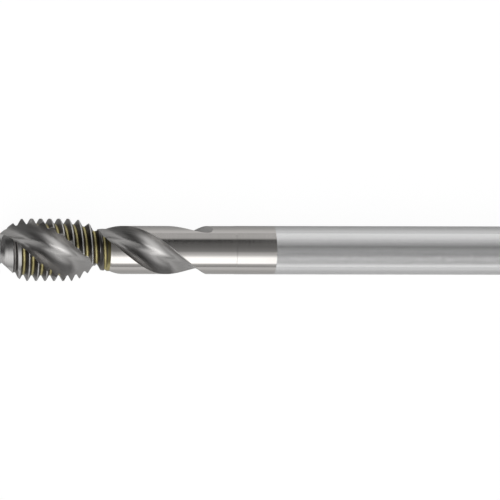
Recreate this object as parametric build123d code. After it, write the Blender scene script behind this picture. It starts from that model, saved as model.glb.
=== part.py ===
# Machine tap with two right-hand helical flutes, in millimetres, lying with its axis along +X and its tip towards -X
from build123d import *
import math
import os

# Whole tap
OVERALL_LENGTH = 110.0

# Thread: ISO metric coarse, one start, right hand
THREAD_DIA = 12.0
PITCH = 1.75
THREAD_DEPTH = 0.6134 * PITCH
CREST_FLAT = PITCH / 8
FLANK_ANGLE = 30.0
THREAD_LENGTH = 18.9
THREAD_START_ANGLE = -26.7
BACK_CHAMFER_ANGLE = 28.3

# Tip: flat face, small ring, then the tapered cutting lead
TIP_FACE_DIA = 7.8
TIP_RING_DIA = 8.96
TIP_RING_LENGTH = 0.7
LEAD_ANGLE = 22.0

# Two flutes on a right-hand helix, which rise out of the neck on their heel side at their back end
FLUTE_COUNT = 2
FLUTE_LEAD = 37.0
FLUTE_WIDTH_ANGLE = 100.2
FLUTE_START_ANGLE = 134.6
CORE_DIA = 4.8
EDGE_TOUCH_ANGLE = 44.5
HEEL_TOUCH_ANGLE = 65.5
FLUTE_FULL_LENGTH = 28.4
FLUTE_EXIT_LENGTH = 14.1
FLUTE_EXIT_RISE = 5.2
FLUTE_EXIT_ANGLE = 102.3

# Slim neck and round shank, with a short cone between them
NECK_DIA = 9.26
NECK_END = 46.0
NECK_STEP_LENGTH = 0.9
SHANK_DIA = 9.32

# Driving square: four flats that ramp out to a slightly thinner shank end
SQUARE_SIZE = 7.0
SQUARE_LENGTH = 10.5
SQUARE_RAMP = 1.2
SQUARE_CORNER_DIA = 8.9
END_CHAMFER = 0.9

# Cutting shapes reach this far past the metal that they cut
CLEAR = 1.0
GROOVE_CLEAR = 0.13
FLUTE_CLEAR = 0.6

# A flute's cutting shape is drawn through this many sections, and stops just before its exit is vertical
FLUTE_STEPS = 44
EXIT_SHARE = 0.97

thread_r = THREAD_DIA / 2
shank_r = SHANK_DIA / 2
neck_r = NECK_DIA / 2
core_r = CORE_DIA / 2
tip_r = TIP_FACE_DIA / 2
ring_r = TIP_RING_DIA / 2
corner_r = SQUARE_CORNER_DIA / 2
lead_end = TIP_RING_LENGTH + (thread_r - ring_r) / math.tan(math.radians(LEAD_ANGLE))
neck_start = THREAD_LENGTH + (thread_r - neck_r) / math.tan(math.radians(BACK_CHAMFER_ANGLE))
square_start = OVERALL_LENGTH - SQUARE_LENGTH
shank_end = square_start - SQUARE_RAMP


def polar(radius, angle):
    # The point at this radius and this angle in degrees
    return Vector(radius * math.cos(math.radians(angle)), radius * math.sin(math.radians(angle)), 0)


def turned_blank():
    # The tap before it is threaded and fluted: one revolved outline from tip to shank end
    outline = [
        (0, 0),
        (tip_r, 0),
        (ring_r, TIP_RING_LENGTH),
        (thread_r, lead_end),
        (thread_r, THREAD_LENGTH),
        (neck_r, neck_start),
        (neck_r, NECK_END),
        (shank_r, NECK_END + NECK_STEP_LENGTH),
        (shank_r, shank_end),
        (corner_r, shank_end + shank_r - corner_r),
        (corner_r, OVERALL_LENGTH - END_CHAMFER),
        (corner_r - END_CHAMFER, OVERALL_LENGTH),
        (0, OVERALL_LENGTH),
    ]
    return revolve(make_face(Plane.XZ * Polyline(*outline, close=True)), Axis.Z)


def thread_grooves():
    # The helical V groove between the threads, with a flat root, as one cutting shape for each turn
    slope = math.tan(math.radians(FLANK_ANGLE))
    crest_half = (PITCH - CREST_FLAT) / 2
    root_half = crest_half - THREAD_DEPTH * slope
    rim_half = crest_half + GROOVE_CLEAR * slope
    outline = Polyline(
        (-THREAD_DEPTH, -root_half),
        (-THREAD_DEPTH, root_half),
        (GROOVE_CLEAR, rim_half),
        (GROOVE_CLEAR, -rim_half),
        close=True,
    )
    helix = Helix(pitch=PITCH, height=PITCH, radius=thread_r)
    across = Plane(origin=helix @ 0, x_dir=(1, 0, 0), z_dir=helix % 0)
    turn = sweep(across * make_face(outline), path=helix, is_frenet=True)
    turns = math.ceil(neck_start / PITCH + 0.5)
    return [Location((0, 0, i * PITCH), (0, 0, THREAD_START_ANGLE)) * turn for i in range(turns)]


def touch_radius(spread):
    # Radius of the arc that leaves the core circle and meets the thread crest this many degrees on
    c = math.cos(math.radians(spread))
    return (thread_r**2 + core_r**2 - 2 * thread_r * core_r * c) / (2 * (thread_r * c - core_r))


def spread_at(arc_r, radius):
    # Degrees from the touch point to where that arc reaches this radius
    c = (radius**2 + core_r**2 + 2 * core_r * arc_r) / (2 * radius * (core_r + arc_r))
    return math.degrees(math.acos(c))


def side_arc(touch_angle, arc_r, rim_angle, rim_r):
    # One wall of the flute: the arc from its rim down to where it touches the core circle
    centre = polar(core_r + arc_r, touch_angle)
    rim = polar(rim_r, rim_angle)
    foot = polar(core_r, touch_angle)
    middle = centre + (rim + foot - centre * 2).normalized() * arc_r
    return ThreePointArc(rim, middle, foot)


def flute_section():
    # One flute across the axis: cutting face, bottom along the core circle and heel, with its edge at angle 0
    rim_r = thread_r + FLUTE_CLEAR
    edge_r = touch_radius(EDGE_TOUCH_ANGLE)
    heel_r = touch_radius(FLUTE_WIDTH_ANGLE - HEEL_TOUCH_ANGLE)
    edge = side_arc(-EDGE_TOUCH_ANGLE, edge_r, spread_at(edge_r, rim_r) - EDGE_TOUCH_ANGLE, rim_r)
    heel = side_arc(-HEEL_TOUCH_ANGLE, heel_r, -HEEL_TOUCH_ANGLE - spread_at(heel_r, rim_r), rim_r)
    bottom = ThreePointArc(edge @ 1, polar(core_r, -(EDGE_TOUCH_ANGLE + HEEL_TOUCH_ANGLE) / 2), heel @ 1)
    outside = ThreePointArc(edge @ 0, polar(rim_r + CLEAR, -FLUTE_WIDTH_ANGLE / 2), heel @ 0)
    return make_face([edge, bottom, heel, outside])


def flute():
    # One flute to cut away: constant depth, then rising out of the neck along a quarter ellipse
    section = flute_section()
    length = FLUTE_FULL_LENGTH + EXIT_SHARE * FLUTE_EXIT_LENGTH + CLEAR
    faces = []
    for i in range(FLUTE_STEPS + 1):
        z = length * i / FLUTE_STEPS - CLEAR
        share = max(0.0, (z - FLUTE_FULL_LENGTH) / FLUTE_EXIT_LENGTH)
        lift = polar(FLUTE_EXIT_RISE * (1 - math.sqrt(1 - share**2)), -FLUTE_EXIT_ANGLE)
        turned = Location((0, 0, z), (0, 0, FLUTE_START_ANGLE + 360 * z / FLUTE_LEAD))
        faces.append(turned * Location(lift) * section)
    return loft(faces)


def square_cutters():
    # What lies outside the driving square: one block for each flat, ramped out towards the shank
    half = SQUARE_SIZE / 2
    reach = shank_r + CLEAR
    ramp_slope = SQUARE_RAMP / (corner_r - half)
    outline = Polyline(
        (half, OVERALL_LENGTH + CLEAR),
        (half, square_start),
        (reach, square_start - (reach - half) * ramp_slope),
        (reach, OVERALL_LENGTH + CLEAR),
        close=True,
    )
    block = extrude(Plane.XZ * make_face(outline), amount=reach, both=True)
    return [Rotation(0, 0, 90 * i) * block for i in range(4)]


def tap():
    # The finished tap, laid down with its axis level and its lowest crest at height 0
    body = turned_blank()
    for turn in thread_grooves():
        body = body - turn
    cut = flute()
    for i in range(FLUTE_COUNT):
        body = body - Rotation(0, 0, 360 * i / FLUTE_COUNT) * cut
    for block in square_cutters():
        body = body - block
    return Location((-OVERALL_LENGTH / 2, 0, thread_r), (0, 90, 0)) * body


os.makedirs("parts", exist_ok=True)
export_step(tap(), "parts/tap.step")
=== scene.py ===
import logging
import math
from dataclasses import dataclass
from enum import Enum, IntEnum
from typing import Union

import bpy
import numpy as np
from mathutils import Matrix, Vector


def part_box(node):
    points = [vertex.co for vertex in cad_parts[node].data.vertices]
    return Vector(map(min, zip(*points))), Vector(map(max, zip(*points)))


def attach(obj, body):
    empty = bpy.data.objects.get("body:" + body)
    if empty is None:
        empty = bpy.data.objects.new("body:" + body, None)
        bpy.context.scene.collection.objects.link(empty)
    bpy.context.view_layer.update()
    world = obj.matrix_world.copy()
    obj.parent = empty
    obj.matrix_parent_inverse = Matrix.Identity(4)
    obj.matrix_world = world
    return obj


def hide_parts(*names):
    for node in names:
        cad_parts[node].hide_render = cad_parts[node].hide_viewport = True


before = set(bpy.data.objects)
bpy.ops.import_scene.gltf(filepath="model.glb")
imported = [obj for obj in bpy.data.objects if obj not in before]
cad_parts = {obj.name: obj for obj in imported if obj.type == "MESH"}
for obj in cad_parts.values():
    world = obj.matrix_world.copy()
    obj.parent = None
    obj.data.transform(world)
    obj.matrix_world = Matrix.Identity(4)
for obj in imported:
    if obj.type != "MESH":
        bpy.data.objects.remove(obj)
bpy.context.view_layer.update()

LOG = logging.getLogger("machine_tap")
MM = 0.001


class Zone(IntEnum):
    """The finishes of the tap, in the order of its material slots."""

    FLUTE = 0
    THREAD = 1
    LEAD = 2
    NECK = 3
    SHANK = 4


@dataclass(frozen=True)
class TapSizes:
    """The tap's own sizes, in millimetres from the tip and in degrees about its axis.

    Angles turn from straight down, towards +Y, as seen from the shank end.
    """

    length: float
    major_r: float
    pitch: float = 1.75
    depth_share: float = 0.6134
    crest_share: float = 0.125
    flank_angle: float = 30.0
    thread_length: float = 18.9
    thread_start: float = -26.7
    back_chamfer: float = 28.3
    tip_r: float = 3.9
    ring_r: float = 4.48
    ring_length: float = 0.7
    lead_angle: float = 22.0
    flute_lead: float = 37.0
    flute_width: float = 100.2
    flute_start: float = 134.6
    core_r: float = 2.4
    edge_touch: float = 44.5
    heel_touch: float = 65.5
    flute_full: float = 28.4
    flute_exit: float = 14.1
    exit_rise: float = 5.2
    exit_angle: float = 102.3
    neck_r: float = 4.63
    neck_end: float = 46.0
    neck_step: float = 0.05
    collar_end: float = 53.75
    shank_r: float = 4.66
    square_half: float = 3.5
    square_length: float = 10.5
    square_ramp: float = 1.2
    corner_r: float = 4.45
    end_chamfer: float = 0.9

    @property
    def thread_depth(self) -> float:
        """Height of a thread from root to crest."""
        return self.depth_share * self.pitch

    @property
    def crest_half(self) -> float:
        """Half the width of the groove where it meets the crests."""
        return self.pitch * (1 - self.crest_share) / 2

    @property
    def root_half(self) -> float:
        """Half the width of the groove's flat root."""
        return self.crest_half - self.thread_depth * math.tan(math.radians(self.flank_angle))

    @property
    def lead_end(self) -> float:
        """Where the tapered lead reaches the full thread diameter."""
        return self.ring_length + (self.major_r - self.ring_r) / math.tan(math.radians(self.lead_angle))

    @property
    def neck_start(self) -> float:
        """Where the chamfer behind the thread reaches the neck."""
        return self.thread_length + (self.major_r - self.neck_r) / math.tan(math.radians(self.back_chamfer))

    @property
    def square_start(self) -> float:
        """Where the flats of the driving square are at full depth."""
        return self.length - self.square_length

    @property
    def shank_end(self) -> float:
        """Where the round shank steps down to the driving square."""
        return self.square_start - self.square_ramp

    def envelope(self, x: np.ndarray) -> np.ndarray:
        """Radius of the turned outline: straight lines between its corners from tip to shank end.

        Args:
            x: Distances from the tip.

        Returns:
            The radius at each distance.
        """
        step = self.shank_r - self.corner_r
        corners = (
            (0.0, self.tip_r),
            (self.ring_length, self.ring_r),
            (self.lead_end, self.major_r),
            (self.thread_length, self.major_r),
            (self.neck_start, self.neck_r),
            (self.neck_end, self.neck_r),
            (self.neck_end + self.neck_step, self.shank_r),
            (self.shank_end, self.shank_r),
            (self.shank_end + step, self.corner_r),
            (self.length - self.end_chamfer, self.corner_r),
            (self.length, self.corner_r - self.end_chamfer),
        )
        along, radius = zip(*corners)
        return np.interp(x, along, radius)

    @classmethod
    def from_frame(cls, node: str) -> "TapSizes":
        """Takes the length and the thread's radius from the CAD node's box.

        Args:
            node: Name of the CAD node.

        Returns:
            The sizes of this tap.
        """
        low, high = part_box(node)
        return cls(length=(high.x - low.x) / MM, major_r=(high.z - low.z) / 2 / MM)


@dataclass
class FluteForm:
    """The section of one flute across the axis.

    Its cutting edge is at angle 0 and the flute at negative angles. It is walked by a parameter from -1,
    outside the heel, through 0, the middle of the bottom, to 1, outside the cutting edge. Points of the
    section are complex numbers.
    """

    sizes: TapSizes
    rim_clear: float = 0.6
    bottom_share: float = 0.08
    halvings: int = 36
    samples: int = 801

    def __post_init__(self) -> None:
        """Tabulates the section's point nearest to the axis, and finds where the flute has left the neck."""
        s = self.sizes
        self.along = np.linspace(s.flute_full, s.flute_full + s.flute_exit, self.samples)
        u = np.linspace(-1, 1, self.samples)
        radius = np.abs(self.curve(u)[None, :] + self.shift(self.along)[:, None])
        self.deepest = u[radius.argmin(1)]
        self.deepest[0] = self.deepest[1]
        self.run_out = float(self.along[np.argmax(radius.min(1) >= s.neck_r)])

    def touch_radius(self, spread: float) -> float:
        """Radius of the arc that leaves the core circle and meets the thread crest some degrees on.

        Formula: (R squared + c squared - 2 R c cos a) / (2 (R cos a - c)), for crest R, core c and spread a.

        Args:
            spread: Degrees about the axis from where the arc touches the core to where it meets the crest.

        Returns:
            The arc's radius.
        """
        s, c = self.sizes, math.cos(math.radians(spread))
        return (s.major_r**2 + s.core_r**2 - 2 * s.major_r * s.core_r * c) / (2 * (s.major_r * c - s.core_r))

    def wall(self, arc_r: float, share: np.ndarray) -> tuple[np.ndarray, np.ndarray]:
        """Points up one wall: an arc that touches the core circle and bends away from it.

        Formula: the radius grows from the core with the square of the share, and the angle from the touch
        point has the cosine (r squared + c squared + 2 c a) / (2 r (c + a)), for core c and arc radius a.

        Args:
            arc_r: Radius of the wall's arc.
            share: 0 at the core to 1 outside the crest.

        Returns:
            The radius of each point, and its angle from the touch point in radians.
        """
        core = self.sizes.core_r
        radius = core + (self.sizes.major_r + self.rim_clear - core) * share**2
        cosine = (radius**2 + core**2 + 2 * core * arc_r) / (2 * radius * (core + arc_r))
        return radius, np.arccos(np.clip(cosine, -1, 1))

    def curve(self, u: np.ndarray) -> np.ndarray:
        """Section points: the heel's arc, the bottom on the core circle, then the cutting face's arc.

        Formula: each wall adds its angle from the touch point to the bottom's angle, and the point is the
        radius times e to the power of i times that angle.

        Args:
            u: Places along the section, -1 to 1.

        Returns:
            The points.
        """
        s, b = self.sizes, self.bottom_share
        edge_touch, heel_touch = math.radians(s.edge_touch), math.radians(s.heel_touch)
        share = np.clip((np.abs(u) - b) / (1 - b), 0, None)
        edge_r, edge_spread = self.wall(self.touch_radius(s.edge_touch), share)
        heel_r, heel_spread = self.wall(self.touch_radius(s.flute_width - s.heel_touch), share)
        across = np.clip(u / b, -1, 1)
        bottom = -(edge_touch + heel_touch) / 2 + across * (heel_touch - edge_touch) / 2
        angle = bottom + np.where(u > 0, edge_spread, -heel_spread)
        return np.where(u > 0, edge_r, heel_r) * np.exp(1j * angle)

    def shift(self, x: np.ndarray) -> np.ndarray:
        """How far the section has moved out of the tap: nothing, then a quarter ellipse to the flute's end.

        Formula: rise times (1 - root of (1 - share squared)), for the share of the exit's length.

        Args:
            x: Distances from the tip.

        Returns:
            The section's offset at each distance.
        """
        s = self.sizes
        share = np.clip((x - s.flute_full) / s.flute_exit, 0, 1)
        rise = s.exit_rise * (1 - np.sqrt(1 - share**2))
        return rise * np.exp(-1j * math.radians(s.exit_angle))

    def reach(self, x: np.ndarray, radius: np.ndarray, side: int) -> np.ndarray:
        """The parameter at which the flute's wall comes out through this radius, found by halving.

        Args:
            x: Distances from the tip.
            radius: The tap's outer radius there.
            side: 1 for the cutting edge, -1 for the heel.

        Returns:
            The parameter, or that of the deepest point where the flute has run out.
        """
        start = np.interp(x, self.along, self.deepest)
        shift = self.shift(x)
        inside, outside = start, np.full_like(radius, float(side))
        for _ in range(self.halvings):
            middle = (inside + outside) / 2
            is_in = np.abs(self.curve(middle) + shift) < radius
            inside, outside = np.where(is_in, middle, inside), np.where(is_in, outside, middle)
        return np.where(x >= self.run_out, start, (inside + outside) / 2)


@dataclass
class TapBody:
    """The whole tap as one closed surface on a grid: rows along the tap, columns round it.

    Columns follow the flutes. In the thread, rows follow the thread's helix, so that crests, flanks and roots
    lie on rows and cutting edges lie on columns. Lengths are in millimetres, the first guesses of the angle
    are in radians and the sharp angle is in degrees.
    """

    sizes: TapSizes
    flute_columns: int = 30
    land_columns: int = 34
    flank_rows: int = 6
    thread_from: float = 1.7
    thread_to: float = 21.0
    settle_rounds: int = 8
    spare_turns: int = 3
    first_guess: tuple[float, float] = (-0.9, 0.7)
    untwist: float = 9.0
    swing_from: float = 56.0
    swing_over: float = 30.0
    fade_over: float = 9.0
    fade_end: float = 0.4
    flats_from: float = 1.0
    round_margins: tuple[float, float] = (0.1, 1.0)
    flute_step: float = 0.42
    exit_rows: int = 40
    exit_gap: float = 0.3
    neck_rows: int = 12
    shank_rows: int = 20
    collar_gap: float = 1.5
    fade_rows: int = 16
    fade_rows_from: float = 9.4
    fade_gap: float = 0.6
    step_rows: int = 4
    step_gap: float = 0.5
    ramp_rows: int = 6
    ramp_gap: float = 1.0
    square_rows: int = 8
    on_land: float = 0.99
    slack: float = 0.001
    crest_slack: float = 0.02
    merge_digits: int = 5
    sharp_angle: float = 24.0

    def __post_init__(self) -> None:
        """Works out what every row shares: the flute's form and each column's part and share."""
        self.flute = FluteForm(self.sizes)
        half = self.flute_columns + self.land_columns
        index = np.arange(2 * half)
        place = index % half
        self.columns = 2 * half
        self.side = (index // half) * math.pi
        self.in_flute = place < self.flute_columns
        land_share = (place - self.flute_columns) / self.land_columns
        self.share = np.where(self.in_flute, place / self.flute_columns, land_share)
        self.run_out = self.flute.run_out
        self.rows_per_turn = 2 * self.flank_rows + 2

    def thread_radius(self, x: np.ndarray, turn: np.ndarray) -> np.ndarray:
        """Radius of the endless thread: a trapezium wave along the axis that moves on one pitch each turn.

        Args:
            x: Distances from the tip.
            turn: Angles about the axis in degrees.

        Returns:
            The radius at each point.
        """
        s = self.sizes
        phase = x - s.pitch * (turn - s.thread_start) / 360
        from_groove = np.abs((phase + s.pitch / 2) % s.pitch - s.pitch / 2)
        climb = np.clip((from_groove - s.root_half) / (s.crest_half - s.root_half), 0, 1)
        return s.major_r - s.thread_depth * (1 - climb)

    def section(self, x: np.ndarray, radius: np.ndarray) -> tuple[np.ndarray, np.ndarray, np.ndarray]:
        """Places every column of each row on the flute or on the land between flutes.

        Args:
            x: Distances from the tip, one for each row and column.
            radius: The tap's outer radius at each of them.

        Returns:
            Angle from the first cutting edge in radians, radius, and share across the flute from -1 to 1.
        """
        held = np.minimum(x, self.run_out)
        edge, heel = self.flute.reach(held, radius, 1), self.flute.reach(held, radius, -1)
        shift = self.flute.shift(held)
        u = heel + (edge - heel) * self.share
        point = self.flute.curve(u) + shift
        edge_angle = np.angle(self.flute.curve(edge) + shift)
        heel_angle = np.angle(self.flute.curve(heel) + shift) + math.pi
        land_angle = edge_angle + (heel_angle - edge_angle) * self.share
        angle = np.where(self.in_flute, np.angle(point), land_angle) + self.side
        gone = x >= self.run_out
        depth = np.where(self.in_flute & ~gone, np.minimum(np.abs(point), radius), radius)
        return angle, depth, np.where(self.in_flute & ~gone, u, 1.0)

    def helix_rows(self) -> dict[str, np.ndarray]:
        """Rows along the thread's helix, held on a plane across the axis at each end of the threaded part.

        Formula: a row is x = v + pitch times turns, and it is met with each column's flute helix.

        Returns:
            Distance from the tip, angle, radius and share across the flute of each row and column.
        """
        s = self.sizes
        flank = np.linspace(s.root_half, s.crest_half, self.flank_rows)
        steps = np.concatenate([[0.0], flank, [s.pitch / 2], s.pitch - flank[::-1]])
        turns = np.arange(-self.spare_turns, math.ceil(self.thread_to / s.pitch) + self.spare_turns)
        groove = -s.pitch * s.thread_start / 360
        v = (groove + s.pitch * turns[:, None] + steps[None, :]).reshape(-1, 1)
        guess = self.side + np.where(self.in_flute, *self.first_guess)
        angle = np.broadcast_to(guess, (len(v), self.columns))
        for _ in range(self.settle_rounds):
            first = v + s.pitch * (s.flute_start + np.degrees(angle)) / 360
            x = np.clip(first / (1 - s.pitch / s.flute_lead), self.thread_from, self.thread_to)
            turn = s.flute_start + np.degrees(angle) + 360 * x / s.flute_lead
            radius = np.minimum(s.envelope(x), self.thread_radius(x, turn))
            angle, depth, across = self.section(x, radius)
        turn = s.flute_start + np.degrees(angle) + 360 * x / s.flute_lead
        return {"x": x, "turn": turn, "r": depth, "across": across}

    def square_turn(self, x: np.ndarray) -> np.ndarray:
        """Column angles at the driving square: half the columns over the flats, half over the corners.

        Formula: a flat reaches the angle whose cosine is the flat's distance over the outer radius.

        Args:
            x: Distances from the tip, one for each row and column.

        Returns:
            The angles in degrees.
        """
        s = self.sizes
        quarter = self.columns // 4
        per_flat = quarter // 2
        place = np.arange(self.columns) % quarter
        start = 90.0 * (np.arange(self.columns) // quarter)
        half_flat = np.degrees(np.arccos(np.clip(self.flat_distance(x) / s.envelope(x), 0, 1)))
        round_shank = math.degrees(math.acos(s.square_half / s.corner_r))
        fade = np.clip((s.shank_end - self.fade_end - x) / self.fade_over, 0, 1)
        half_flat = half_flat + (round_shank - half_flat) * fade
        on_flat = start + half_flat * (2 * place / per_flat - 1)
        on_corner = start + half_flat + (90 - 2 * half_flat) * (place - per_flat) / per_flat
        return np.where(place < per_flat, on_flat, on_corner)

    def flat_distance(self, x: np.ndarray) -> np.ndarray:
        """Distance of the square's flats from the axis: a ramp down to half the square's size."""
        s, before = self.sizes, np.clip(self.sizes.square_start - x, 0, None)
        return s.square_half + before * (s.corner_r - s.square_half) / s.square_ramp

    def plain_rows(self, along: np.ndarray) -> dict[str, np.ndarray]:
        """Rows straight across the axis, for all that has no thread.

        Columns follow the flutes up to their end, turn less and less up to the shank, and then swing round to
        meet the flats.

        Args:
            along: The rows' distances from the tip.

        Returns:
            Distance from the tip, angle, radius and share across the flute of each row and column.
        """
        s = self.sizes
        x = np.broadcast_to(along[:, None], (len(along), self.columns))
        radius = s.envelope(x)
        angle, depth, across = self.section(x, radius)
        past = np.clip(x - self.run_out, 0, self.untwist)
        twist = np.minimum(x, self.run_out) + past - past**2 / (2 * self.untwist)
        turn = s.flute_start + np.degrees(angle) + 360 * twist / s.flute_lead
        target = self.square_turn(x)
        target = target + 90 * np.round((turn[-1, 0] - target[-1, 0]) / 90)
        swing = np.clip((x - self.swing_from) / self.swing_over, 0, 1)
        turn = turn + (target - turn) * swing
        from_flat = np.radians((turn + 45) % 90 - 45)
        flats = self.flat_distance(x) / np.cos(from_flat)
        depth = np.minimum(depth, np.where(x > s.shank_end - self.flats_from, flats, depth))
        return {"x": x.copy(), "turn": turn, "r": depth, "across": across}

    def row_places(self) -> tuple[np.ndarray, np.ndarray]:
        """Distances of the plain rows from the tip: even steps between the places where the outline changes.

        Returns:
            The rows before the thread, and those after it.
        """
        s = self.sizes
        lead_middle = (s.ring_length + self.thread_from) / 2
        before = np.array([0.0, s.ring_length / 2, s.ring_length, lead_middle, self.thread_from])
        fade_start = s.shank_end - self.fade_rows_from
        ramp_start = s.shank_end - (s.shank_r - s.corner_r) * s.square_ramp / (s.corner_r - s.square_half)
        after = np.concatenate([
            [self.thread_to],
            np.arange(s.neck_start, s.flute_full, self.flute_step),
            np.linspace(s.flute_full, self.run_out, self.exit_rows),
            np.linspace(self.run_out + self.exit_gap, s.neck_end, self.neck_rows),
            np.linspace(s.neck_end + s.neck_step, s.collar_end, self.shank_rows),
            np.linspace(s.collar_end + self.collar_gap, fade_start - self.fade_gap, self.shank_rows),
            np.linspace(fade_start, ramp_start - self.fade_end, self.fade_rows),
            np.linspace(ramp_start, s.shank_end, self.step_rows),
            [s.shank_end + s.shank_r - s.corner_r],
            np.linspace(s.shank_end + self.step_gap, s.square_start, self.ramp_rows),
            np.linspace(s.square_start + self.ramp_gap, s.length - s.end_chamfer, self.square_rows),
            np.linspace(s.length - s.end_chamfer / 2, s.length, 2),
        ])
        return before, after

    def quads(self, rows: int, offset: int, seam: int) -> np.ndarray:
        """Vertex numbers of the quads between neighbouring rows and columns, facing outwards.

        Args:
            rows: How many rows the grid has.
            offset: Number of the grid's first vertex.
            seam: How many rows further on the last column meets the first one.

        Returns:
            One row of four numbers for each quad.
        """
        i, j = np.meshgrid(np.arange(rows - 1 - seam), np.arange(self.columns), indexing="ij")
        last = j == self.columns - 1
        step = np.where(last, seam, 0)
        j2 = np.where(last, 0, j + 1)
        a, b = i * self.columns + j, (i + step) * self.columns + j2
        corners = np.stack([a, b, b + self.columns, a + self.columns], -1)
        return corners.reshape(-1, 4) + offset

    def build(self, name: str) -> bpy.types.Object:
        """Builds the tap's mesh with its finish zones and surface attributes.

        Formula: a vertex stands at x along the axis, r sin(turn) across it and -r cos(turn) above it.

        Args:
            name: Name of the object.

        Returns:
            The object, in the CAD part's place.
        """
        s = self.sizes
        before, after = self.row_places()
        grids = [self.plain_rows(before), self.helix_rows(), self.plain_rows(after)]
        offsets = np.cumsum([0] + [g["x"].size for g in grids])
        seams = (0, self.rows_per_turn, 0)
        quads = np.concatenate([self.quads(len(g["x"]), int(o), k) for g, o, k in zip(grids, offsets, seams)])
        keys = ("x", "turn", "r", "across")
        x, turn, r, across = (np.concatenate([g[k].ravel() for g in grids]) for k in keys)
        t = np.radians(turn)
        low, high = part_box("tap")
        points = np.stack([x, r * np.sin(t), -r * np.cos(t)], -1)
        rounded = np.round(points, self.merge_digits)
        _, first, same = np.unique(rounded, axis=0, return_index=True, return_inverse=True)
        quads = same.reshape(-1)[quads]
        points, x, r, across = points[first], x[first], r[first], across[first]
        faces, zones = self.clean_faces(quads, x, r, across)
        tip = self.loop(same.reshape(-1)[: self.columns])[::-1]
        end = self.loop(same.reshape(-1)[-self.columns:])
        faces += [tip, end]
        zones += [int(Zone.LEAD), int(Zone.SHANK)]
        centre = np.array([low.x, (low.y + high.y) / 2, (low.z + high.z) / 2])
        mesh = bpy.data.meshes.new(name)
        mesh.from_pydata((points * MM + centre).tolist(), [], faces)
        mesh.polygons.foreach_set("material_index", zones)
        mesh.polygons.foreach_set("use_smooth", [True] * len(faces))
        mesh.set_sharp_from_angle(angle=math.radians(self.sharp_angle))
        # The groove depth also places the painted golden highlight in the thread's roots and on the lower
        # back chamfer.
        rim = np.where(x > s.thread_length, s.major_r, s.envelope(x))
        in_thread = x < s.neck_start + self.slack
        self.write(mesh, "groove_depth", np.where(in_thread, (rim - r) / s.thread_depth, 0))
        self.write(mesh, "flute_across", across)
        self.radial_normals(mesh, x, r, centre)
        mesh.validate()
        obj = bpy.data.objects.new(name, mesh)
        bpy.context.scene.collection.objects.link(obj)
        LOG.info("%s: %d vertices, %d faces", name, len(mesh.vertices), len(mesh.polygons))
        return obj

    def radial_normals(self, mesh: bpy.types.Mesh, x: np.ndarray, r: np.ndarray, centre: np.ndarray) -> None:
        """Points the normals of the round neck, collar and shank straight out, so that they mirror cleanly.

        Formula: a vertex's place across the axis over its length. All other corners keep their own normals.

        Args:
            mesh: The tap's mesh.
            x: Each vertex's distance from the tip.
            r: Each vertex's radius.
            centre: A point on the axis.
        """
        s = self.sizes
        corner = np.empty(len(mesh.loops), np.int32)
        mesh.loops.foreach_get("vertex_index", corner)
        start, zone = (np.empty(len(mesh.polygons), np.int32) for _ in range(2))
        mesh.polygons.foreach_get("loop_start", start)
        mesh.polygons.foreach_get("material_index", zone)
        place = np.empty(len(mesh.vertices) * 3, np.float32)
        mesh.vertices.foreach_get("co", place)
        out = (place.reshape(-1, 3) - centre) * np.array([0, 1, 1])
        out /= np.linalg.norm(out, axis=1)[:, None]
        behind, before = s.neck_start + self.round_margins[0], s.shank_end - self.round_margins[1]
        plain = (np.abs(r - s.envelope(x)) < self.slack) & (x > behind) & (x < before)
        level = np.maximum.reduceat(r[corner], start) - np.minimum.reduceat(r[corner], start) < self.slack
        is_round = np.logical_and.reduceat(plain[corner], start) & level & (zone >= Zone.NECK)
        per_face = np.diff(np.append(start, len(corner)))
        normals = np.where(np.repeat(is_round, per_face)[:, None], out[corner], 0.0)
        mesh.normals_split_custom_set(normals.tolist())

    def loop(self, ring: np.ndarray) -> list[int]:
        """One ring of vertex numbers with repeats taken out, for the flat face that closes an end."""
        keep = ring != np.roll(ring, 1)
        return ring[keep].tolist()

    def write(self, mesh: bpy.types.Mesh, name: str, values: np.ndarray) -> None:
        """Stores one number for each vertex as an attribute that the materials read."""
        layer = mesh.attributes.new(name, "FLOAT", "POINT")
        layer.data.foreach_set("value", values.astype(np.float32))

    def clean_faces(
        self, quads: np.ndarray, x: np.ndarray, r: np.ndarray, across: np.ndarray
    ) -> tuple[list[list[int]], list[int]]:
        """Drops quads that the held rows have flattened and makes triangles of those with one short side.

        Args:
            quads: Four vertex numbers for each quad.
            x: Each vertex's distance from the tip.
            r: Each vertex's radius.
            across: Each vertex's place across the flute, 1 on the land.

        Returns:
            The faces and the finish zone of each.
        """
        s = self.sizes
        same = quads == np.roll(quads, -1, axis=1)
        count = same.sum(1)
        whole, short = quads[count == 0], quads[count == 1]
        gap = same[count == 1].argmax(1)
        order = (gap[:, None] + np.array([1, 2, 3])) % 4
        triangles = np.take_along_axis(short, order, 1)
        faces, zones = [], []
        for group in (whole, triangles):
            middle = x[group].mean(1)
            sunk = (s.envelope(x[group]) - r[group]).mean(1)
            in_flute = (across[group] < self.on_land).sum(1) >= 2
            zone = np.full(len(group), int(Zone.SHANK))
            zone = np.where(middle < s.collar_end, int(Zone.NECK), zone)
            # Grooves and the back chamfer take the thread finish, whose darker tone is painted shade.
            zone = np.where(middle < s.neck_start, int(Zone.THREAD), zone)
            zone = np.where((middle < s.thread_length) & (sunk < self.crest_slack), int(Zone.LEAD), zone)
            zone = np.where(in_flute & (middle < self.run_out), int(Zone.FLUTE), zone)
            faces += group.tolist()
            zones += zone.tolist()
        return faces, zones


# What feeds a node's input: another node's output, a number or a colour.
Source = Union[bpy.types.NodeSocket, float, tuple[float, float, float]]


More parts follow.
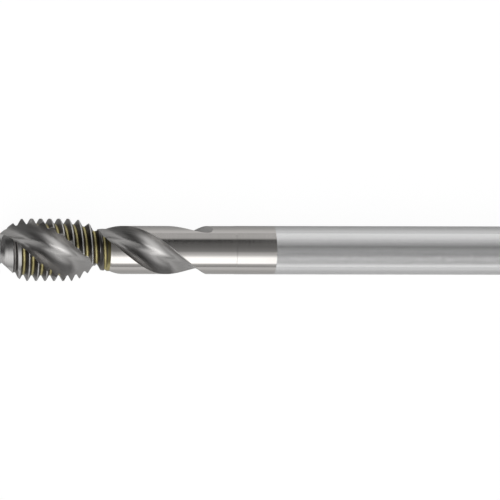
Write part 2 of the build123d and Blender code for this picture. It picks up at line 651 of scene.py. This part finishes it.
class NodeKit:
    """Adds nodes to one node tree and feeds their sockets."""

    def __init__(self, tree: bpy.types.NodeTree) -> None:
        """Keeps the tree that the nodes go into."""
        self.tree = tree

    def feed(self, socket: bpy.types.NodeSocket, source: Source) -> None:
        """Links a socket to what feeds it, or sets it.

        Args:
            socket: The socket.
            source: Another node's output to link, or a number or a colour to set.
        """
        if isinstance(source, bpy.types.NodeSocket):
            self.tree.links.new(source, socket)
        elif isinstance(source, tuple):
            socket.default_value = (*source, 1)
        else:
            socket.default_value = source

    def add(self, kind: str, **inputs: Source) -> bpy.types.Node:
        """Adds a node.

        Args:
            kind: The node's type.
            inputs: What feeds its inputs, by their names with underscores for spaces.

        Returns:
            The node.
        """
        node = self.tree.nodes.new(kind)
        for name, source in inputs.items():
            self.feed(node.inputs[name.replace("_", " ")], source)
        return node

    def group(self, group: bpy.types.NodeTree, **inputs: float) -> bpy.types.Node:
        """Places a node group.

        Args:
            group: The group.
            inputs: Its values by name.

        Returns:
            The node that holds the group.
        """
        node = self.tree.nodes.new("ShaderNodeGroup")
        node.node_tree = group
        for name, value in inputs.items():
            node.inputs[name].default_value = value
        return node

    def maths(self, operation: str, *values: Source) -> bpy.types.NodeSocket:
        """Works out one step of arithmetic.

        Args:
            operation: The maths node's operation.
            values: What feeds its inputs, in their order.

        Returns:
            The result.
        """
        node = self.tree.nodes.new("ShaderNodeMath")
        node.operation = operation
        for socket, value in zip(node.inputs, values):
            self.feed(socket, value)
        return node.outputs[0]

    def fade(self, value: Source, low: Source, high: Source) -> bpy.types.NodeSocket:
        """Makes a smooth step.

        Args:
            value: What the step follows.
            low: Where it leaves 0.
            high: Where it reaches 1.

        Returns:
            The step, 0 to 1.
        """
        node = self.add("ShaderNodeMapRange", Value=value, From_Min=low, From_Max=high)
        node.interpolation_type = "SMOOTHSTEP"
        return node.outputs[0]

    def mix(self, share: Source, low: Source, high: Source) -> bpy.types.NodeSocket:
        """Mixes two colours.

        Args:
            share: 0 for the first colour to 1 for the second.
            low: The first colour.
            high: The second colour.

        Returns:
            The mixed colour.
        """
        node = self.tree.nodes.new("ShaderNodeMix")
        node.data_type = "RGBA"
        colours = [socket for socket in node.inputs if socket.type == "RGBA"]
        self.feed(node.inputs[0], share)
        self.feed(colours[0], low)
        self.feed(colours[1], high)
        return next(socket for socket in node.outputs if socket.type == "RGBA")

    def place(self) -> bpy.types.NodeSocketCollection:
        """The place on the object in metres, as separate X, Y and Z outputs."""
        coordinates = self.tree.nodes.new("ShaderNodeTexCoord")
        return self.add("ShaderNodeSeparateXYZ", Vector=coordinates.outputs["Object"]).outputs

    def attribute(self, name: str) -> bpy.types.NodeSocket:
        """Reads a number that the mesh carries.

        Args:
            name: Name of the mesh's attribute.

        Returns:
            The number.
        """
        node = self.tree.nodes.new("ShaderNodeAttribute")
        node.attribute_name = name
        return node.outputs["Fac"]


class Marks(Enum):
    """Which way the fine grinding marks of a finish run."""

    TURNED = "turned_marks"
    ALONG_FLUTE = "flute_marks"


@dataclass
class MarkGroups:
    """The node groups that the finishes share. Each puts out values, masks and normals only.

    The bump's height is in metres, and the scale along the flute is in noise cells to the millimetre.
    """

    bump_height: float = 0.00002
    across_share: float = 0.04
    along_scale: float = 0.12
    detail: float = 4.0
    noise_roughness: float = 0.6

    def __post_init__(self) -> None:
        """Makes every group once."""
        self.groups = {
            Marks.TURNED: self.turned(),
            Marks.ALONG_FLUTE: self.along_flute(),
        }
        self.root = self.root_highlight_mask()

    def new(
        self, name: str, inputs: tuple[str, ...], outputs: dict[str, str]
    ) -> tuple[NodeKit, bpy.types.Node, bpy.types.Node]:
        """Starts a shader node group with number inputs and the named outputs.

        Args:
            name: Name of the group.
            inputs: Names of its number inputs.
            outputs: Socket type of each output by its name.

        Returns:
            A kit for the group, its input node and its output node.
        """
        group = bpy.data.node_groups.new(name, "ShaderNodeTree")
        for socket in inputs:
            group.interface.new_socket(socket, in_out="INPUT", socket_type="NodeSocketFloat")
        for socket, kind in outputs.items():
            group.interface.new_socket(socket, in_out="OUTPUT", socket_type=kind)
        LOG.info("node group %s", name)
        return NodeKit(group), group.nodes.new("NodeGroupInput"), group.nodes.new("NodeGroupOutput")

    def new_marks(self, marks: Marks) -> tuple[NodeKit, bpy.types.Node, bpy.types.Node]:
        """Starts a group of marks: their fineness and depth go in, a value and a normal come out."""
        outputs = {"Value": "NodeSocketFloat", "Normal": "NodeSocketVector"}
        return self.new(marks.value, ("Fineness", "Depth"), outputs)

    def finish_marks(
        self, kit: NodeKit, vector: bpy.types.NodeSocket, start: bpy.types.Node, end: bpy.types.Node
    ) -> None:
        """Ends a group of marks with noise, put out as a value and as a small bump.

        Args:
            kit: The group's kit.
            vector: The place that the noise reads.
            start: The group's input node.
            end: The group's output node.
        """
        noise = kit.add(
            "ShaderNodeTexNoise", Vector=vector, Scale=1.0, Detail=self.detail, Roughness=self.noise_roughness
        ).outputs[0]
        bump = kit.add(
            "ShaderNodeBump", Distance=self.bump_height, Height=noise, Strength=start.outputs["Depth"]
        )
        kit.feed(end.inputs["Value"], noise)
        kit.feed(end.inputs["Normal"], bump.outputs[0])

    def turned(self) -> bpy.types.NodeTree:
        """Makes the marks round the axis that a lathe or a cylindrical grinder leaves.

        Formula: noise at the place in millimetres times the fineness, drawn out long across the axis.

        Returns:
            The group.
        """
        kit, start, end = self.new_marks(Marks.TURNED)
        place, join = kit.place(), kit.tree.nodes.new("ShaderNodeCombineXYZ")
        for axis, share in (("X", 1.0), ("Y", self.across_share), ("Z", self.across_share)):
            scaled = kit.maths("MULTIPLY", place[axis], share / MM)
            kit.feed(join.inputs[axis], kit.maths("MULTIPLY", scaled, start.outputs["Fineness"]))
        self.finish_marks(kit, join.outputs[0], start, end)
        return kit.tree

    def along_flute(self) -> bpy.types.NodeTree:
        """Makes the marks along the flute that its grinding wheel leaves.

        Formula: noise at the share across the flute times the fineness, drawn out long along the tap.

        Returns:
            The group.
        """
        kit, start, end = self.new_marks(Marks.ALONG_FLUTE)
        across = kit.maths("MULTIPLY", kit.attribute("flute_across"), start.outputs["Fineness"])
        along = kit.maths("MULTIPLY", kit.place()["X"], self.along_scale / MM)
        join = kit.add("ShaderNodeCombineXYZ", X=across, Y=along)
        self.finish_marks(kit, join.outputs[0], start, end)
        return kit.tree

    def root_highlight_mask(self) -> bpy.types.NodeTree:
        """Makes a mask of the thread's roots for their painted golden highlight: 1 in the groove's bottom, 0
        on its flanks and crests.

        Returns:
            The group.
        """
        kit, start, end = self.new("root_highlight_mask", ("From", "To"), {"Mask": "NodeSocketFloat"})
        mask = kit.fade(kit.attribute("groove_depth"), start.outputs["From"], start.outputs["To"])
        kit.feed(end.inputs["Mask"], mask)
        return kit.tree


@dataclass(frozen=True)
class Steel:
    """A ground steel finish: two tones and two roughnesses that its fine marks mix."""

    name: str
    light: tuple[float, float, float]
    dark: tuple[float, float, float]
    roughness: tuple[float, float]
    marks: Marks = Marks.TURNED
    fineness: float = 6.0
    depth: float = 0.1
    anisotropic: float = 0.0
    metallic: float = 1.0
    # root is the colour of a painted golden highlight in the thread's roots.
    root: tuple[float, float, float] | None = None
    root_highlight_range: tuple[float, float] = (0.84, 1.0)
    spread: tuple[float, float] = (0.3, 0.7)
    quarter_turn: float = 0.25

    def make(self, groups: MarkGroups) -> bpy.types.Material:
        """Makes the material.

        Args:
            groups: The shared node groups.

        Returns:
            The material.
        """
        material = bpy.data.materials.new(self.name)
        material.use_nodes = True
        kit = NodeKit(material.node_tree)
        shader = kit.tree.nodes["Principled BSDF"]
        shader.inputs["Metallic"].default_value = self.metallic
        shader.inputs["Anisotropic"].default_value = self.anisotropic
        shader.inputs["Anisotropic Rotation"].default_value = self.quarter_turn
        marks = kit.group(groups.groups[self.marks], Fineness=self.fineness, Depth=self.depth)
        low, high = self.spread
        share = kit.add(
            "ShaderNodeMapRange", Value=marks.outputs["Value"], From_Min=low, From_Max=high
        ).outputs[0]
        colour = kit.mix(share, self.dark, self.light)
        # Painted highlight: the root colour lightens the groove bottoms and the lower back chamfer and tints
        # them gold.
        if self.root:
            low, high = self.root_highlight_range
            mask = kit.group(groups.root, From=low, To=high).outputs["Mask"]
            colour = kit.mix(mask, colour, self.root)
        low, high = self.roughness
        rough = kit.add("ShaderNodeMapRange", Value=share, To_Min=low, To_Max=high)
        kit.feed(shader.inputs["Base Color"], colour)
        kit.feed(shader.inputs["Roughness"], rough.outputs[0])
        kit.feed(shader.inputs["Normal"], marks.outputs["Normal"])
        if self.anisotropic:
            tangent = kit.add("ShaderNodeTangent")
            tangent.direction_type = "RADIAL"
            tangent.axis = "X"
            kit.feed(shader.inputs["Tangent"], tangent.outputs[0])
        return material


FINISHES = {
    Zone.FLUTE: Steel(
        "ground_flute", (0.5, 0.49, 0.48), (0.43, 0.42, 0.41), (0.27, 0.32), Marks.ALONG_FLUTE, 26.0, 0.12
    ),
    # The thread's grooves and back chamfer get a darker tone than the crests as painted shade; the root
    # colour is a painted golden highlight in the groove bottoms.
    Zone.THREAD: Steel(
        "thread_painted_shade_and_highlight", (0.26, 0.25, 0.24), (0.2, 0.19, 0.18), (0.26, 0.32), fineness=9.0, depth=0.15,
        root=(0.5, 0.44, 0.21),
    ),
    Zone.LEAD: Steel("ground_lead", (0.58, 0.57, 0.56), (0.5, 0.49, 0.48), (0.2, 0.24), fineness=9.0),
    Zone.NECK: Steel("polished_neck", (0.58, 0.56, 0.54), (0.56, 0.54, 0.52), (0.035, 0.045), depth=0.0),
    Zone.SHANK: Steel(
        "satin_shank", (0.77, 0.77, 0.77), (0.74, 0.74, 0.74), (0.1, 0.11), fineness=9.0, depth=0.03,
        anisotropic=0.8, metallic=0.85,
    ),
}


@dataclass(frozen=True)
class Cards:
    """Soft cards round the tap, seen by surfaces that throw the view to one stretch along its axis.

    The stretch ends at this X of the direction, where the next one begins, with a blend this wide to each
    side. Levels are radiances at angles round the tap's axis in degrees, where 0 is up and 90 is -Y.
    """

    name: str
    ends: float
    blend: float
    levels: tuple[tuple[float, float], ...]


# A program worked these levels out from the photo's brightness, and they were rounded.
STRETCHES = (
    Cards("beyond the tip", -0.7, 0.1, (
        (-180, 0.2), (-105, 0.14), (-80, 0.1), (-50, 0.18), (-25, 0.13), (0, 0.08), (20, 0.04), (40, 0.2),
        (60, 0.72), (80, 0.6), (105, 0.12), (180, 0.2),
    )),
    Cards("over the tip", -0.14, 0.04, (
        (-180, 0.3), (-105, 0.18), (-90, 0.05), (-70, 0.26), (-50, 0.05), (-35, 0.05), (-22, 0.13),
        (-12, 0.14), (-4, 0.31), (4, 0.54), (12, 0.87), (20, 0.99), (30, 1.15), (40, 1.13), (50, 0.98),
        (60, 0.95), (70, 0.68), (80, 0.57), (92, 0.04), (105, 0.26), (180, 0.3),
    )),
    Cards("before the middle", 0.08, 0.01, (
        (-180, 0.35), (-105, 0.35), (-90, 0.01), (-70, 0.01), (-50, 0.01), (-35, 0.01), (-22, 0.09),
        (-12, 2.05), (-4, 2.51), (4, 2.31), (12, 2.9), (20, 2.88), (30, 2.9), (40, 2.52), (50, 1.63),
        (60, 1.01), (70, 0.49), (80, 0.31), (92, 0.05), (105, 0.47), (180, 0.35),
    )),
    Cards("about the middle", 0.21, 0.01, (
        (-180, 0.4), (-105, 0.4), (-95, 0.5), (-85, 1.3), (-75, 1.22), (-65, 1.17), (-55, 1.08),
        (-45, 0.96), (-35, 0.71), (-25, 0.48), (-15, 0.16), (-5, 0.19), (5, 0.25), (15, 0.07), (25, 0.01),
        (35, 0.01), (45, 0.01), (55, 0.01), (65, 0.13), (75, 1.09), (85, 1.3), (95, 0.5), (105, 0.4),
        (180, 0.4),
    )),
    Cards("over the shank", 0.62, 0.06, (
        (-180, 0.25), (-105, 0.25), (-90, 0.01), (-70, 0.1), (-50, 0.05), (-35, 0.05), (-20, 0.09),
        (-8, 0.24), (4, 0.3), (16, 0.39), (30, 0.72), (45, 0.82), (60, 0.58), (75, 0.45), (90, 0.02),
        (105, 0.21), (180, 0.25),
    )),
    Cards("beyond the shank", 1.0, 0.0, (
        (-180, 0.2), (-105, 0.12), (-80, 0.01), (-50, 0.01), (-25, 0.04), (0, 0.13), (20, 0.2),
        (40, 0.19), (60, 0.26), (80, 0.03), (105, 0.14), (180, 0.2),
    )),
)
STRAIGHT_UP = Cards("straight up", 0.007, 0.003, (
    (-180, 0.6), (-90, 0.58), (-61, 0.56), (-56, 0.4), (-50, 0.06), (-45, 0.04), (-40, 0.06), (-30, 0.124),
    (-15, 0.2), (0, 0.28), (6, 0.32), (13, 0.6), (23, 0.84), (28, 1.1), (33, 1.6), (38, 2.0), (65, 2.0),
    (72, 0.68), (80, 0.44), (90, 0.36), (180, 0.36),
))


@dataclass
class Studio:
    """Pale floor, soft surroundings and the camera. Angles are in degrees, the floor's lengths in metres."""

    sizes: TapSizes
    tilt: float = 9.3
    roll: float = 0.105
    picture: int = 500
    pixels_per_mm: float = 5.2
    sensor: float = 36.0
    aim: tuple[float, float] = (49.19, 0.033)
    distance: float = 4.0
    reach: float = 100.0
    strength: float = 3.0
    neck_mirrors: float = 0.158
    floor_half: float = 30.0
    floor_tone: float = 0.75
    floor_glow: float = 1.12
    floor_seen: float = 0.85
    floor_mirrored: tuple[float, float] = (0.13, 0.5)
    floor_through: float = 0.1
    floor_shade: tuple[float, float] = (0.005, 0.045)

    def camera(self) -> None:
        """Looks straight down on the tap from far away, tilted towards its tip.

        The aim is a place along the tap from its tip, and across it, in millimetres.
        """
        data = bpy.data.cameras.new("camera")
        data.sensor_width = self.sensor
        data.lens = self.sensor * self.distance / (self.picture / self.pixels_per_mm * MM)
        data.clip_end = self.reach
        camera = bpy.data.objects.new("camera", data)
        tilt = math.radians(self.tilt)
        right = Vector((math.cos(tilt), 0, math.sin(tilt)))
        back = Vector((-math.sin(tilt), 0, math.cos(tilt)))
        turn = Matrix((right, Vector((0, 1, 0)), back)).transposed().to_4x4()
        along, across = self.aim
        target = Vector((along - self.sizes.length / 2, across, self.sizes.major_r)) * MM
        roll = Matrix.Rotation(math.radians(self.roll), 4, "Z")
        camera.matrix_world = Matrix.Translation(target + back * self.distance) @ turn @ roll
        bpy.context.scene.collection.objects.link(camera)
        bpy.context.scene.camera = camera

    def floor(self) -> None:
        """Lays a wide pale floor. The camera sees it white, and the steel sees it shaded near the tap."""
        mesh = bpy.data.meshes.new("floor")
        half = self.floor_half
        corners = [(-half, -half, 0), (half, -half, 0), (half, half, 0), (-half, half, 0)]
        mesh.from_pydata(corners, [], [(0, 1, 2, 3)])
        floor = bpy.data.objects.new("floor", mesh)
        bpy.context.scene.collection.objects.link(floor)
        material = bpy.data.materials.new("floor")
        material.use_nodes = True
        kit = NodeKit(material.node_tree)
        shader = kit.tree.nodes["Principled BSDF"]
        shader.inputs["Base Color"].default_value = (*[self.floor_tone] * 3, 1)
        shader.inputs["Roughness"].default_value = 1
        shader.inputs["Specular IOR Level"].default_value = 0
        glow = kit.add("ShaderNodeEmission", Color=(1, 1, 1), Strength=self.floor_glow)
        ray = kit.add("ShaderNodeLightPath").outputs
        near, far = self.floor_mirrored
        # Painted shadow: the glow that reflections see falls from the far share to the near share close to
        # the tap.
        clear = kit.fade(kit.maths("ABSOLUTE", kit.place()["Y"]), *self.floor_shade)
        share = kit.maths("MULTIPLY_ADD", clear, far - near, near)
        seen = kit.maths("MULTIPLY", ray["Is Camera Ray"], self.floor_seen)
        mirrored = kit.maths("MULTIPLY", ray["Is Glossy Ray"], share)
        through = kit.maths("MULTIPLY", ray["Is Transmission Ray"], self.floor_through)
        white = kit.maths("ADD", seen, kit.maths("MAXIMUM", mirrored, through))
        self.put_out(kit, white, (shader, glow), "Material Output")
        mesh.materials.append(material)

    def put_out(
        self, kit: NodeKit, share: bpy.types.NodeSocket, shaders: tuple[bpy.types.Node, ...], output: str
    ) -> None:
        """Mixes two shaders and puts the mix out.

        Args:
            kit: The material's or the world's kit.
            share: 0 for the first shader to 1 for the second.
            shaders: The two shader nodes.
            output: Name of the tree's output node.
        """
        mix = kit.tree.nodes.new("ShaderNodeMixShader")
        for socket, source in zip(mix.inputs, (share, *(shader.outputs[0] for shader in shaders))):
            kit.feed(socket, source)
        kit.feed(kit.tree.nodes[output].inputs["Surface"], mix.outputs[0])

    def ramp(self, kit: NodeKit, turn: bpy.types.NodeSocket, cards: Cards) -> bpy.types.NodeSocket:
        """Makes a grey ramp over the angle round the tap's axis.

        Args:
            kit: The world's kit.
            turn: The angle, from 0 at -180 degrees to 1 at 180 degrees.
            cards: The levels, which the background's strength multiplies.

        Returns:
            The grey.
        """
        node = kit.add("ShaderNodeValToRGB", Fac=turn)
        node.label = cards.name
        elements = node.color_ramp.elements
        for place, (angle, level) in enumerate(cards.levels):
            element = elements[place] if place < 2 else elements.new(1)
            element.position = (angle + 180) / 360
            element.color = (*[level / self.strength] * 3, 1)
        return node.outputs[0]

    def world(self) -> None:
        """Sets soft cards all round, over the angle about the tap's axis and the stretch along it.

        Formula: the angle is the arc tangent of -Y over Z of the direction, and the stretch follows its X.
        """
        world = bpy.data.worlds.new("world")
        bpy.context.scene.world = world
        world.use_nodes = True
        kit = NodeKit(world.node_tree)
        coordinates = kit.add("ShaderNodeTexCoord").outputs["Generated"]
        way = kit.add("ShaderNodeSeparateXYZ", Vector=coordinates).outputs
        angle = kit.maths("ARCTAN2", kit.maths("MULTIPLY", way["Y"], -1), way["Z"])
        turn = kit.add("ShaderNodeMapRange", Value=angle, From_Min=-math.pi, From_Max=math.pi).outputs[0]
        colour = self.ramp(kit, turn, STRETCHES[0])
        for before, cards in zip(STRETCHES, STRETCHES[1:]):
            share = kit.fade(way["X"], before.ends - before.blend, before.ends + before.blend)
            colour = kit.mix(share, colour, self.ramp(kit, turn, cards))
        off = kit.maths("ABSOLUTE", kit.maths("SUBTRACT", way["X"], self.neck_mirrors))
        share = kit.fade(off, STRAIGHT_UP.ends, STRAIGHT_UP.ends + STRAIGHT_UP.blend)
        colour = kit.mix(share, self.ramp(kit, turn, STRAIGHT_UP), colour)
        background = kit.tree.nodes["Background"]
        background.inputs["Strength"].default_value = self.strength
        kit.feed(background.inputs["Color"], colour)
        white = kit.add("ShaderNodeBackground", Color=(1, 1, 1))
        seen = kit.add("ShaderNodeLightPath").outputs["Is Camera Ray"]
        self.put_out(kit, seen, (background, white), "World Output")

    def build(self) -> None:
        """Sets up the whole studio."""
        self.camera()
        self.floor()
        self.world()
        bpy.context.scene.view_settings.view_transform = "Standard"
        LOG.info("studio built")


def main() -> None:
    """Builds the tap and the studio round it."""
    logging.basicConfig(level=logging.INFO)
    sizes = TapSizes.from_frame("tap")
    tap = TapBody(sizes).build("tap_steel")
    groups = MarkGroups()
    for zone, steel in FINISHES.items():
        tap.data.materials.append(steel.make(groups))
        LOG.info("%s has finish %s", zone.name, steel.name)
    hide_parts("tap")
    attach(tap, "root")
    Studio(sizes).build()
    LOG.info("tap built")


if __name__ == "__main__":
    main()
